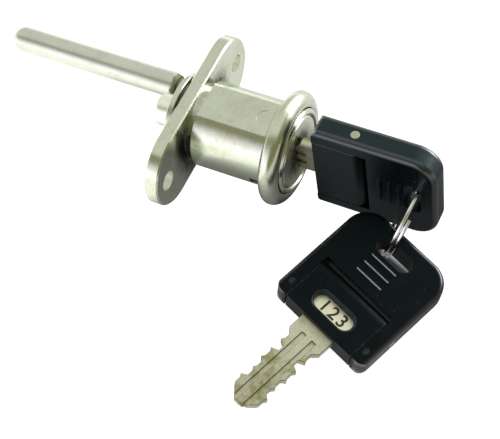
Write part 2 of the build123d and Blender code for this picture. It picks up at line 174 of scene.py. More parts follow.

# Steel and brass. The blade darkens towards its tip, and shade is painted on its grooves' walls, which
# stand between two depths from its middle plane
STEEL_STAIN = (0.34, 0.29, 0.2)
RAW_STEEL = (0.17, 0.155, 0.06)
OILED_STEEL = (0.12, 0.12, 0.1)
HINGE_STEEL = (0.48, 0.5, 0.38)
SPRING_STEEL = (0.6, 0.6, 0.6)
CAP_BRIGHTER = 1.52
BLADE_TARNISH = (0.4, 0.39, 0.17)
BLADE_TIP = (0.2, 0.2, 0.09)
GROOVE_SHADE_TONE = (0.12, 0.1, 0.06)
TIP_REACH = (1.0, 14.0)
GROOVE_FOOT = (0.56, 0.62)
GROOVE_TOP = (0.8, 0.94)
RECESS_TONES = ((0.045, 0.032, 0.02), (0.13, 0.1, 0.07))

# Keys: the front of each head, on its middle plane, and how it lies
KEY_1_PLACE = (0.0, -26.3, 0.0)
KEY_2_EYE = (-12.88, -47.17, -7.81)
KEY_2_HEADING = -21.1
KEY_2_ROLL = 12.2
EYE_FROM_FRONT = 21.1
TANG_HALF_THICKNESS = 1.0
WINDOW_CENTRE = 4.3
# Ends of the painted light on the tang, seen in the carrier's window
WINDOW_ENDS = (4.0, 5.5)
WINDOW_SIDES = {"key_1": 1, "key_2": -1}

# Figures stamped in the tang: letter size for a height of 1, spacing, boldness and roundness
FIGURE_SIZE = 1.36
FIGURE_SPACING = 1.2
FIGURE_BOLDNESS = 0.06
FIGURE_ARC_STEPS = 5

# Grips: how strongly they shine and how rough they are, how strongly a highlight is painted on their
# ribs' front edges, and the share of the outline's shine that the wall between its two rounds has
GRIPS = {
    "key_1": {"sheen": 0.45, "roughness": 0.24, "rib_highlight": 0.12, "rim_share": 0.0},
    "key_2": {"sheen": 0.1, "roughness": 0.34, "rib_highlight": 1.0, "rim_share": 0.35},
}
SHEEN_TINT = (0.62, 0.95, 1.0)
GRIP_SPECKLE = (0.035, 0.042, 0.075)
GRIP_DUST = (0.16, 0.16, 0.17)
GRIP_RUBBED = (0.07, 0.08, 0.095)
RIB_HIGHLIGHT = (0.42, 0.47, 0.56)

# The shining outline of a head: edges across it, along it, and from the middle plane to the rounds
# and the faces
RIM_SIDES = (9.2, 10.0)
RIM_END = (22.9, 23.6)
RIM_ROUNDS = (1.3, 1.7)
RIM_FACES = (2.5, 2.7)
PARTING_LINE = (0.02, 0.09)

# Grip ribs
RIB_COUNT = 3
RIB_START = 14.2
RIB_PITCH = 2.1
RIB_WIDTH = 0.6
RIB_LENGTH = 6.8

# Split ring
RING_CENTRE = (-2.66, -45.55, -6.09)
RING_TILT = 18.6
RING_YAW = -1.5
RING_END_ANGLE = 235.4
RING_RADIUS = 9.14
RING_PITCH = 0.9
RING_TURNS = 1.9
RING_STEPS = 120

# Wafer springs
SPRING_TURNS = 2
SPRING_PITCH = 1.44
SPRING_RADIUS = 0.55
SPRING_LUG = 0.5
SPRING_SIDES = 8
SPRING_STEPS = 16
WAFER_PITCH = 2.6

# Edge rounds of the small steel and brass pieces
WASHER_ROUND = 0.04
STAMPED_ROUND = 0.05
CARRIER_SHARE = 0.7


def key_frame(place, heading, roll, upright):
    """A matrix, in metres, from a key's own axes to the model's: across, along and through the head."""
    if upright:
        across = Vector((0, 0, 1))
        along = Vector((0, -1, 0))
    else:
        along = Vector((cos(radians(heading)), sin(radians(heading)), 0))
        level = Vector((-along.y, along.x, 0))
        across = level * cos(radians(roll)) + Vector((0, 0, sin(radians(roll))))
        place = Vector(place) - along * EYE_FROM_FRONT
    turned = Matrix((across, along, across.cross(along))).transposed().to_4x4()
    return Matrix.Translation(Vector(place) * MM) @ turned


KEY_FRAMES = {
    "key_1": key_frame(KEY_1_PLACE, 0, 0, True),
    "key_2": key_frame(KEY_2_EYE, KEY_2_HEADING, KEY_2_ROLL, False),
}


# Shader maths


class Signal:
    """One socket of a shader graph, with the operators that make its Math nodes."""

    def __init__(self, graph, socket):
        self.graph = graph
        self.socket = socket

    def _math(self, operation, *values):
        made = self.graph.node("ShaderNodeMath", {"operation": operation})
        for index, value in enumerate(values):
            self.graph.feed(made.inputs[index], value)
        return Signal(self.graph, made.outputs[0])

    def __add__(self, other):
        return self._math("ADD", self, other)

    def __radd__(self, other):
        return self._math("ADD", other, self)

    def __sub__(self, other):
        return self._math("SUBTRACT", self, other)

    def __rsub__(self, other):
        return self._math("SUBTRACT", other, self)

    def __mul__(self, other):
        return self._math("MULTIPLY", self, other)

    def __rmul__(self, other):
        return self._math("MULTIPLY", other, self)

    def __neg__(self):
        return self._math("MULTIPLY", -1.0, self)

    def __abs__(self):
        return self._math("ABSOLUTE", self)

    def angle(self, other):
        """The angle, in radians, whose tangent is this over the other."""
        return self._math("ARCTAN2", self, other)

    def step(self, low, high):
        """0 below low, 1 above high, and smooth between them."""
        made = self.graph.node(
            "ShaderNodeMapRange",
            {"interpolation_type": "SMOOTHSTEP", "clamp": True},
            {"Value": self, "From Min": low, "From Max": high},
        )
        return Signal(self.graph, made.outputs["Result"])


class Graph:
    """The node tree of one material or world."""

    def __init__(self, name):
        self.material = bpy.data.materials.new(name)
        self.material.use_nodes = True
        self.tree = self.material.node_tree
        self.tree.nodes.clear()

    @classmethod
    def over(cls, tree):
        """A graph on a tree that exists already, such as a world's."""
        graph = cls.__new__(cls)
        graph.tree = tree
        tree.nodes.clear()
        return graph

    def feed(self, socket, value):
        """Links a signal to a socket, or sets the socket to a plain value."""
        if isinstance(value, Signal):
            self.tree.links.new(value.socket, socket)
        elif isinstance(value, tuple) and len(value) == 3 and len(socket.default_value) == 4:
            socket.default_value = (*value, 1.0)
        else:
            socket.default_value = value

    def node(self, kind, settings=None, values=None):
        """A node of a type, with its settings made first and then its sockets' values or links."""
        made = self.tree.nodes.new(kind)
        for key, value in (settings or {}).items():
            if key == "stops":
                fill_ramp(made.color_ramp, value)
            else:
                setattr(made, key, value)
        for key, value in (values or {}).items():
            self.feed(made.inputs[key], value)
        return made

    def place(self, frame_matrix=None, stretch=(1.0, 1.0, 1.0)):
        """Object coordinates in millimetres, in a piece's own axes, divided by stretch."""
        coordinates = Signal(self, self.node("ShaderNodeTexCoord").outputs["Object"])
        matrix = frame_matrix or Matrix.Identity(4)
        made = self.node(
            "ShaderNodeMapping",
            {"vector_type": "TEXTURE"},
            {
                "Vector": coordinates,
                "Location": matrix.to_translation(),
                "Rotation": matrix.to_euler(),
                "Scale": tuple(MM * part for part in stretch),
            },
        )
        return Signal(self, made.outputs["Vector"])

    def parts(self, vector):
        """The three numbers of a vector or colour."""
        made = self.node("ShaderNodeSeparateXYZ", values={"Vector": vector})
        return [Signal(self, made.outputs[index]) for index in range(3)]

    def from_axis(self):
        """Distance from the lock's axis in millimetres."""
        flat = self.place(stretch=(1.0, 1e6, 1.0))
        made = self.node("ShaderNodeVectorMath", {"operation": "LENGTH"}, {0: flat})
        return Signal(self, made.outputs["Value"])

    def noise(self, place, size, detail=3.0, distortion=0.0):
        """Cloudy noise from 0 to 1 with features about size millimetres across."""
        made = self.node(
            "ShaderNodeTexNoise",
            {"noise_dimensions": "3D"},
            {
                "Vector": place,
                "Scale": 1.0 / size,
                "Detail": detail,
                "Roughness": 0.55,
                "Distortion": distortion,
            },
        )
        return Signal(self, made.outputs["Fac"])

    def specks(self, place, size, share):
        """1 inside round specks, in about share of the cells that lie size millimetres apart."""
        made = self.node(
            "ShaderNodeTexVoronoi",
            {"feature": "F1"},
            {"Vector": place, "Scale": 1.0 / size, "Randomness": 1.0},
        )
        distance = Signal(self, made.outputs["Distance"])
        picked = self.parts(Signal(self, made.outputs["Color"]))[0]
        return (1 - distance.step(0.08, 0.3)) * (1 - picked.step(share * 0.9, share))

    def blend(self, mask, first, second):
        """The colour first where mask is 0, and second where it is 1."""
        made = self.node("ShaderNodeMix", {"data_type": "RGBA"})
        self.feed(made.inputs[0], mask)
        self.feed(made.inputs[6], first)
        self.feed(made.inputs[7], second)
        return Signal(self, made.outputs[2])

    def bump(self, height, depth):
        """A normal from a height from 0 to 1 that stands depth millimetres."""
        made = self.node(
            "ShaderNodeBump", values={"Strength": 1.0, "Distance": depth * MM, "Height": height}
        )
        return Signal(self, made.outputs["Normal"])

    def surface(self, colour, metallic, roughness, normal, **fixed):
        """Ends the graph in a Principled shader, and returns the material."""
        values = {"Base Color": colour, "Metallic": metallic, "Roughness": roughness, "Normal": normal}
        values.update({key.replace("_", " "): value for key, value in fixed.items()})
        made = self.node("ShaderNodeBsdfPrincipled", values=values)
        return self.finish(made.outputs["BSDF"])

    def matt(self, colour):
        """A diffuse shader."""
        return self.node("ShaderNodeBsdfDiffuse", values={"Color": colour}).outputs["BSDF"]

    def glow(self, strength):
        """A white light of its own."""
        return self.node("ShaderNodeEmission", values={"Strength": strength}).outputs[0]

    def background(self, colour):
        return self.node("ShaderNodeBackground", values={"Color": colour, "Strength": 1.0}).outputs[0]

    def together(self, first, second):
        """Both shaders added."""
        made = self.node("ShaderNodeAddShader")
        self.tree.links.new(first, made.inputs[0])
        self.tree.links.new(second, made.inputs[1])
        return made.outputs[0]

    def mixed(self, mask, first, second):
        """The shader first where mask is 0, and second where it is 1."""
        made = self.node("ShaderNodeMixShader")
        self.feed(made.inputs[0], mask)
        self.tree.links.new(first, made.inputs[1])
        self.tree.links.new(second, made.inputs[2])
        return made.outputs[0]

    def finish(self, socket):
        """Ends the graph in this shader, and returns the material."""
        out = self.node("ShaderNodeOutputMaterial")
        self.tree.links.new(socket, out.inputs["Surface"])
        return self.material


def fill_ramp(ramp, stops):
    while len(ramp.elements) < len(stops):
        ramp.elements.new(0.5)
    for element, (position, colour) in zip(ramp.elements, stops):
        element.position = position
        element.color = (*colour, 1.0)


def scaled(colour, factor):
    return tuple(min(1.0, part * factor) for part in colour)


# Finishes


def satin_nickel(name, colour, least_rough, painted_shade, bared=None):
    """Nickel plate over a zinc casting: fine orange peel, cloudy tarnish, handling scratches, pits.

    painted_shade takes the graph, and gives a mask of where shade is painted into the plate, darker
    and a little rougher. bared does so for the bare metal of drilled holes.
    """
    graph = Graph(name)
    place = graph.place()
    clouds = graph.noise(place, 5.5, detail=4.0)
    fine = graph.noise(place, 0.22, detail=2.0)
    patches = graph.noise(place, 1.6, detail=3.0, distortion=0.6)
    scratches = graph.noise(graph.place(stretch=(0.05, 1.4, 0.05)), 1.1, detail=1.0)
    pits = graph.specks(place, 0.7, 0.06)
    tarnish = clouds.step(0.4, 0.7) * 0.32 + patches.step(0.45, 0.7) * 0.26
    body = graph.blend(tarnish, colour, TARNISH)
    speckled = graph.blend(fine.step(0.35, 0.65) * 0.3, body, scaled(colour, 1.25))
    tone = graph.blend(pits * 0.25, speckled, scaled(colour, 0.35))
    roughness = least_rough + clouds * 0.08 + fine * 0.06 + pits * 0.2 - scratches.step(0.62, 0.7) * 0.07
    # Painted shade: the mask darkens the plate and roughens it a little, in patches
    dirt_and_shade = painted_shade(graph) * (0.75 + patches.step(0.3, 0.6) * 0.5)
    tone = graph.blend(dirt_and_shade, tone, PLATE_SHADE_TONE)
    roughness = roughness + dirt_and_shade * 0.15
    if bared is not None:
        bare = bared(graph)
        tone = graph.blend(bare, tone, BARE_ZINC)
        roughness = roughness + bare * 0.3
    height = fine * 0.55 + patches * 0.3 + scratches.step(0.66, 0.72) * -0.12 - pits * 0.6
    return graph.surface(tone, 1.0, roughness, graph.bump(height, 0.009))


def behind_neck(graph):
    """Painted shade, with brown discolouring of the plate, in the corner between the barrel's neck and
    the flange, faint on top.
    """
    _, y, z = graph.parts(graph.place())
    corner = y.step(-NECK_LENGTH - 0.4, -NECK_LENGTH + 0.5) * (1 - y.step(0.03, 0.2))
    return (1 - graph.from_axis().step(*NECK_SHADE_REACH)) * corner * (1 - z.step(*NECK_SHADE_TOP) * 0.8)


def flange_bores(graph):
    """The walls of the flange's two screw holes."""
    x, _, z = graph.parts(graph.place())
    aside = abs(x) - FLANGE_HOLE_PLACE
    square = aside * aside + z * z
    return 1 - square.step(FLANGE_HOLE_RADIUS**2, (FLANGE_HOLE_RADIUS + BORE_MARGIN) ** 2)


def lug_slots(graph):
    """Painted shade on the trim ring's lugs, sunk in the barrel's slots."""
    return (1 - graph.from_axis().step(*LUG_SHADE)) * 1.1


def round_keyway(graph):
    """The plug's face round the keyway: painted shade, and soiling where keys miss the keyway."""
    return (1 - graph.from_axis().step(*KEYWAY_SHADE)) * 0.9


def polished_edge(name, colour):
    """Where handling has rubbed an edge of the plate bright."""
    graph = Graph(name)
    worn = graph.noise(graph.place(), 0.7)
    tone = graph.blend(worn.step(0.35, 0.7), scaled(colour, 1.1), scaled(colour, 0.9))
    return graph.surface(tone, 1.0, 0.3 + worn * 0.16, graph.bump(worn, 0.004))


def drawn_steel(name, colour, frame_matrix, least_rough, raw_before=None):
    """Turned or drawn plated steel: faint rings round the axis and long rubs along it.

    Below raw_before along the piece the plate is thin, and the turned shoulder is brown and rough.
    """
    graph = Graph(name)
    place = graph.place(frame_matrix)
    turned = graph.noise(graph.place(frame_matrix, (4.0, 0.09, 4.0)), 1.0, detail=2.0)
    rubs = graph.noise(graph.place(frame_matrix, (0.16, 5.0, 0.16)), 1.0, detail=2.0)
    clouds = graph.noise(place, 4.0, detail=4.0)
    stain = graph.noise(place, 1.1, distortion=0.8)
    tone = graph.blend(clouds.step(0.4, 0.75) * 0.45, colour, scaled(colour, 0.76))
    tone = graph.blend(stain.step(0.62, 0.8) * 0.35, tone, STEEL_STAIN)
    roughness = least_rough + turned * 0.05 + rubs * 0.08 + clouds * 0.05
    if raw_before is not None:
        along = graph.parts(place)[1] + stain * 1.6
        raw = (1 - along.step(raw_before, raw_before + 0.7)) * (0.55 + clouds * 0.6)
        tone = graph.blend(raw, tone, RAW_STEEL)
        roughness = roughness + raw * 0.25
    height = turned * 0.5 + rubs * 0.5
    return graph.surface(tone, 1.0, roughness, graph.bump(height, 0.006))


def bright_plate(name, colour, least_rough):
    """Bright plating with a few fine scratches."""
    graph = Graph(name)
    clouds = graph.noise(graph.place(), 2.4)
    hair = graph.noise(graph.place(stretch=(0.06, 0.9, 0.06)), 0.8, detail=1.0)
    tone = graph.blend(clouds.step(0.5, 0.8) * 0.4, colour, scaled(colour, 0.8))
    roughness = least_rough + clouds * 0.06 + hair.step(0.6, 0.7) * 0.08
    return graph.surface(tone, 1.0, roughness, graph.bump(hair, 0.002))


def key_metal(name, colour, frame_matrix):
    """Plated brass blade: brushed along its length, with painted shade on the grooves' walls, painted
    light where the carrier's window shows the tang, and rubbed high spots.
    """
    graph = Graph(name)
    place = graph.place(frame_matrix)
    brushed = graph.noise(graph.place(frame_matrix, (0.07, 3.2, 0.07)), 1.0)
    fine = graph.noise(graph.place(frame_matrix, (0.05, 0.9, 0.05)), 1.0, detail=2.0)
    mottle = graph.noise(place, 0.32)
    clouds = graph.noise(place, 2.6)
    _, along, through = graph.parts(place)
    depth = abs(through)
    tip = (-along).step(*TIP_REACH)
    groove_walls = depth.step(*GROOVE_FOOT) * (1 - depth.step(*GROOVE_TOP))
    # Painted shade on the grooves' walls, broken up by mottle
    groove_shade = groove_walls * mottle.step(0.2, 0.6)
    # Painted light: the tang is made paler where the carrier's window shows it
    window = 1 - abs(along - WINDOW_CENTRE).step(*WINDOW_ENDS)
    tone = graph.blend(brushed.step(0.3, 0.7) * 0.6, colour, scaled(colour, 0.72))
    tone = graph.blend(mottle.step(0.45, 0.65) * 0.4, tone, scaled(colour, 1.18))
    tone = graph.blend(clouds.step(0.45, 0.7) * (0.6 + tip * 0.4), tone, BLADE_TARNISH)
    tone = graph.blend(tip * (0.3 + clouds.step(0.4, 0.7) * 0.2), tone, BLADE_TIP)
    tone = graph.blend(groove_shade * 0.7, tone, GROOVE_SHADE_TONE)
    # Painted light in the window
    tone = graph.blend(window * 0.8, tone, scaled(colour, 1.38))
    roughness = 0.34 + brushed * 0.14 + fine * 0.08 + groove_shade * 0.15
    height = brushed * 0.6 + fine * 0.4
    return graph.surface(tone, 1.0, roughness, graph.bump(height, 0.009))


def stamped_recess(name):
    """Dark floor of the stamped figures."""
    graph = Graph(name)
    dirt_and_shade = graph.noise(graph.place(), 0.25)
    tone = graph.blend(dirt_and_shade, *RECESS_TONES)
    return graph.surface(tone, 0.25, 0.6 + dirt_and_shade * 0.2, graph.bump(dirt_and_shade, 0.01))


def rib_fronts(graph, place):
    """The front edge of each rib on a grip, where a highlight is painted."""
    across, along, _ = graph.parts(place)
    fronts = 0.0
    for rib in range(RIB_COUNT):
        front = RIB_START + RIB_PITCH * rib - RIB_WIDTH / 2
        fronts = (1 - abs(along - front).step(0.03, 0.13)) + fronts
    return fronts * (1 - abs(across).step(RIB_LENGTH / 2 - 0.3, RIB_LENGTH / 2 - 0.1))


def moulded_black(
    name, colour, frame_matrix, sheen, least_rough, rib_highlight=0.0, rim_share=0.0, parting=True
):
    """Spark-eroded black plastic: soft sheen, fine texture, dust, rubbed patches, a painted highlight on
    the ribs' fronts and a parting line.

    The rounds along a head's outline shine, and the wall between them has rim_share of that.
    """
    graph = Graph(name)
    place = graph.place(frame_matrix)
    across, along, through = graph.parts(place)
    outside = abs(through)
    texture = graph.noise(place, 0.16, detail=2.0)
    flow = graph.noise(place, 3.2, detail=4.0, distortion=0.4)
    rubs = graph.noise(graph.place(frame_matrix, (0.08, 1.6, 0.3)), 1.0, detail=1.0)
    dust = graph.specks(place, 0.9, 0.12)
    tone = graph.blend(flow.step(0.35, 0.75), colour, scaled(colour, 1.6))
    tone = graph.blend(texture.step(0.5, 0.7) * 0.12, tone, GRIP_SPECKLE)
    tone = graph.blend(dust * 0.16, tone, GRIP_DUST)
    # Painted highlight on the ribs' front edges
    tone = graph.blend(rib_fronts(graph, place) * rib_highlight, tone, RIB_HIGHLIGHT)
    roughness = least_rough + flow * 0.12 + texture * 0.05 - rubs.step(0.62, 0.72) * 0.07
    height = texture * 0.5 + flow * 0.3 + rubs.step(0.64, 0.72) * -0.25
    if parting:
        height = height + (1 - outside.step(*PARTING_LINE)) * 3.0
    outline = 1 - (1 - abs(across).step(*RIM_SIDES)) * (1 - along.step(*RIM_END))
    rounded = rim_share + outside.step(*RIM_ROUNDS) * (1.0 - rim_share)
    return graph.surface(
        tone,
        0.0,
        roughness,
        graph.bump(height, 0.012),
        Specular_IOR_Level=sheen,
        Specular_Tint=SHEEN_TINT,
        Coat_Weight=outline * rounded * (1 - outside.step(*RIM_FACES)),
        Coat_Roughness=0.25,
        Coat_IOR=1.6,
    )


def rubbed_black(name, colour, frame_matrix, rib_highlight):
    """Edges of the grips, rubbed a little paler and smoother, with a painted highlight on the ribs'
    fronts.
    """
    graph = Graph(name)
    place = graph.place(frame_matrix)
    worn = graph.noise(place, 0.8)
    tone = graph.blend(worn.step(0.4, 0.75), scaled(colour, 1.6), GRIP_RUBBED)
    # Painted highlight on the ribs' front edges
    tone = graph.blend(rib_fronts(graph, place) * rib_highlight, tone, RIB_HIGHLIGHT)
    return graph.surface(
        tone,
        0.0,
        0.3 + worn * 0.16,
        graph.bump(worn, 0.006),
        Specular_IOR_Level=0.9,
        Specular_Tint=SHEEN_TINT,
    )


def stamped_brass(name, colour):
    """Bare brass of the wafers, a little clouded."""
    graph = Graph(name)
    place = graph.place()
    clouds = graph.noise(place, 1.4, detail=4.0)
    grain = graph.noise(place, 0.2, detail=2.0)
    tone = graph.blend(clouds.step(0.35, 0.7), colour, scaled(colour, 0.65))
    return graph.surface(tone, 1.0, 0.3 + clouds * 0.15, graph.bump(grain, 0.005))


def mirrored_floor(graph, brightness):
    """The floor as the metal shows it: a glow with painted shade under the lock, the keys and the trim
    ring, and painted light beside the lock and behind it.
    """
    x, y, _ = graph.parts(graph.place())
    beside_keys = (-y).step(*KEYS_FRONT) * (1 - x.step(*KEYS_RIGHT)) * KEYS_SHADE
    right = x.step(*LIT_RIGHT) * (1 - beside_keys)
    left = (-x).step(*LIT_LEFT)
    ends = y.step(*LIT_REAR) + (-y).step(*LIT_FRONT)
    lit = 1 - (1 - right) * (1 - left) * (1 - ends)
    corner = y.step(*REAR_CORNER) * (-x).step(*REAR_CORNER_LEFT)
    rear = 1 - (1 - y.step(*REAR_WHOLE)) * (1 - corner)
    ring_x, ring_y = RING_SHADE_PLACE
    ring = (1 - abs(x - ring_x).step(*RING_SHADE_X)) * (1 - abs(y - ring_y).step(*RING_SHADE_Y))
    # Painted shade and light: the glow's strength follows these masks
    shader = graph.glow(SHADED_FLOOR * brightness)
    for mask, strength in ((lit, LIT_FLOOR), (rear, REAR_LIT_GLOW), (ring, RING_SHADE_GLOW)):
        shader = graph.mixed(mask, shader, graph.glow(strength * brightness))
    return shader


def painted_shade_under_key(graph):
    """Where shade is painted on the paper, close under the second key's head."""
    across, along, _ = graph.parts(graph.place(KEY_FRAMES["key_2"]))
    beside = 1 - abs(across).step(*COVERED_ACROSS)
    under_head = beside * (1 - abs(along - COVERED_MIDDLE).step(*COVERED_ALONG))
    sky = graph.node("ShaderNodeAmbientOcclusion", values={"Distance": COVER_REACH * MM})
    return under_head * (1 - Signal(graph, sky.outputs["AO"]).step(*COVER_OPEN))


def white_paper(name, seen_brightness, mirrored_brightness):
    """Floor that reads as white to the camera and to the metal, and still takes the lock's shadow. The
    camera also sees painted shade under the second key's head, and the metal sees painted shade and
    light.
    """
    graph = Graph(name)
    fibre = graph.noise(graph.place(), 1.8, detail=4.0)
    paper = graph.matt(graph.blend(fibre, *PAPER_TONES))
    path = graph.node("ShaderNodeLightPath").outputs
    camera = Signal(graph, path["Is Camera Ray"])
    mirrors = Signal(graph, path["Is Glossy Ray"]) + Signal(graph, path["Is Transmission Ray"])
    pale = graph.together(paper, graph.glow(seen_brightness))
    # Painted shade: a dark paper tone under the second key's head
    seen = graph.mixed(painted_shade_under_key(graph), pale, graph.matt(UNDER_KEY_SHADE_TONE))
    unseen = graph.mixed(mirrors, paper, mirrored_floor(graph, mirrored_brightness))
    return graph.finish(graph.mixed(camera, unseen, seen))


# Meshes


def link(name, data):
    """A new object with this mesh, curve, light or camera, in the scene."""
    made = bpy.data.objects.new(name, data)
    bpy.context.scene.collection.objects.link(made)
    return made


def evaluated_mesh(item):
    """A plain mesh of an object as its modifiers leave it."""
    graph = bpy.context.evaluated_depsgraph_get()
    return bpy.data.meshes.new_from_object(item.evaluated_get(graph))


def baked(piece):
    """Replaces a piece's mesh with the result of its modifiers, and takes the modifiers off."""
    mesh = evaluated_mesh(piece)
    piece.modifiers.clear()
    piece.data = mesh
    return piece


def soften(piece, width, segments):
    """Rounds the sharp edges, width in metres, and gives the rounds the second material."""
    bevel = piece.modifiers.new("edge round", "BEVEL")
    bevel.width = width
    bevel.segments = segments
    bevel.limit_method = "ANGLE"
    bevel.angle_limit = radians(35.0)
    bevel.use_clamp_overlap = True
    bevel.miter_outer = "MITER_ARC"
    bevel.material = 1
    return piece


def flatten(piece):
    """Keeps the normals of the flat faces true beside the rounds."""
    normals = piece.modifiers.new("flat normals", "WEIGHTED_NORMAL")
    normals.keep_sharp = True
    normals.weight = 100
    return piece


def from_cad(node, name):
    """A welded copy of a CAD node's mesh, smooth apart from its sharp edges."""
    if node not in frame["nodes"]:
        raise RuntimeError(f"The frame has no node {node}")
    mesh = frame["nodes"][node].data.copy()
    mesh.name = name
    mesh.materials.clear()
    work = bmesh.new()
    work.from_mesh(mesh)
    bmesh.ops.remove_doubles(work, verts=work.verts, dist=1e-6)
    work.to_mesh(mesh)
    work.free()
    for face in mesh.polygons:
        face.use_smooth = True
    mesh.set_sharp_from_angle(angle=radians(30.0))
    return link(name, mesh)


def dress(piece, *materials):
    for material in materials:
        piece.data.materials.append(material)
    return piece


def stand_for(piece, node, body):
    """Puts a finished piece on its body, in place of the CAD node."""
    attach(piece, body)
    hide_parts(node)
    return piece


def rounded_node(node, name, body, slot, width, materials, segments=3):
    """A CAD node's shape with soft edges, and its finish."""
    piece = dress(from_cad(node, name), *materials)
    baked(flatten(soften(piece, width, segments)))
    return stand_for(piece, node, body)


def stamp_figures(blade, matrix, side, sizes, recess):
    """Sinks the figures into the blade's tang, where the carrier's window shows it."""
    curve = bpy.data.curves.new("stamped figures", "FONT")
    curve.body = sizes.figures
    curve.size = sizes.figure_height * FIGURE_SIZE
    curve.align_x = "CENTER"
    curve.align_y = "CENTER"
    curve.space_character = FIGURE_SPACING
    curve.extrude = sizes.figure_depth
    curve.offset = FIGURE_BOLDNESS * MM
    curve.resolution_u = FIGURE_ARC_STEPS
    text = link("stamped figures", curve)
    mesh = evaluated_mesh(text)
    bpy.data.objects.remove(text)
    facing = Matrix(((side, 0, 0), (0, 1, 0), (0, 0, side))).to_4x4()
    centre = Matrix.Translation(Vector((0, WINDOW_CENTRE, side * TANG_HALF_THICKNESS)) * MM)
    mesh.transform(matrix @ centre @ facing)
    mesh.materials.clear()
    mesh.materials.append(recess)
    punch = link("figure punch", mesh)
    cut = blade.modifiers.new("stamp", "BOOLEAN")
    cut.operation = "DIFFERENCE"
    cut.solver = "EXACT"
    cut.material_mode = "TRANSFER"
    cut.object = punch
    faces = len(blade.data.polygons)
    baked(blade)
    bpy.data.objects.remove(punch)
    if len(blade.data.polygons) <= faces:
        raise RuntimeError(f"The figures left no mark on {blade.name}")


# Geometry Nodes


class Tree:
    """A Geometry Nodes tree that ends in Realize Instances and Set Material."""

    def __init__(self, name, material):
        self.tree = bpy.data.node_groups.new(name, "GeometryNodeTree")
        self.material = material
        self.face = self.tree.interface
        self.inlet = self.tree.nodes.new("NodeGroupInput")
        self.sizes = {}

    def size(self, name, value):
        """A named input of the tree, and its value, in metres."""
        made = self.face.new_socket(name, in_out="INPUT", socket_type="NodeSocketFloat")
        self.sizes[made.identifier] = value
        return self.inlet.outputs[name]

    def node(self, kind, settings=None, values=None):
        made = self.tree.nodes.new(kind)
        for key, value in (settings or {}).items():
            setattr(made, key, value)
        for key, value in (values or {}).items():
            if isinstance(value, bpy.types.NodeSocket):
                self.tree.links.new(value, made.inputs[key])
            else:
                made.inputs[key].default_value = value
        return made

    def mesh(self, name, geometry):
        """Runs the tree on an empty mesh, and returns the result as a plain piece."""
        self.face.new_socket("Geometry", in_out="OUTPUT", socket_type="NodeSocketGeometry")
        solid = self.node("GeometryNodeRealizeInstances", values={"Geometry": geometry})
        smooth = self.node("GeometryNodeSetShadeSmooth", values={"Geometry": solid.outputs[0]})
        dressed = self.node(
            "GeometryNodeSetMaterial", values={"Geometry": smooth.outputs[0], "Material": self.material}
        )
        out = self.tree.nodes.new("NodeGroupOutput")
        self.tree.links.new(dressed.outputs[0], out.inputs[0])
        piece = link(name, bpy.data.meshes.new(name))
        modifier = piece.modifiers.new("nodes", "NODES")
        modifier.node_group = self.tree
        for identifier, value in self.sizes.items():
            modifier[identifier] = value
        baked(piece)
        if not piece.data.polygons:
            raise RuntimeError(f"The node tree made nothing for {name}")
        return piece


def coil(tree, turns, radius, height, wire, sides, steps, left_handed):
    """A round wire wound in a coil about Z, with closed ends."""
    spiral = tree.node(
        "GeometryNodeCurveSpiral",
        values={
            "Resolution": steps,
            "Rotations": turns,
            "Start Radius": radius,
            "End Radius": radius,
            "Height": height,
            "Reverse": not left_handed,
        },
    )
    section = tree.node(
        "GeometryNodeCurvePrimitiveCircle", values={"Radius": wire, "Resolution": sides}
    )
    return tree.node(
        "GeometryNodeCurveToMesh",
        values={"Curve": spiral.outputs[0], "Profile Curve": section.outputs[0], "Fill Caps": True},
    ).outputs[0]


def make_split_ring(name, sizes, material):
    """The ring's coil, stood on its axis, which leans between the two eyes."""
    tree = Tree("split ring wire", material)
    wire = tree.size("Wire radius", sizes.ring_wire)
    radius = tree.size("Ring radius", RING_RADIUS * MM)
    height = RING_TURNS * RING_PITCH * MM
    wound = coil(tree, RING_TURNS, radius, height, wire, sizes.ring_sides, RING_STEPS, True)
    tilt = radians(RING_TILT)
    yaw = radians(RING_YAW)
    axis = Vector((sin(yaw), cos(yaw) * cos(tilt), cos(yaw) * sin(tilt)))
    across = (Vector((1, 0, 0)) - axis * axis.x).normalized()
    turned = Matrix((across, axis.cross(across), axis)).transposed().to_4x4()
    stood = turned @ Matrix.Rotation(radians(RING_END_ANGLE), 4, "Z")
    start = Vector(RING_CENTRE) * MM - axis * height / 2
    placed = tree.node(
        "GeometryNodeTransform",
        values={"Geometry": wound, "Translation": start, "Rotation": stood.to_euler()},
    )
    return tree.mesh(name, placed.outputs[0])


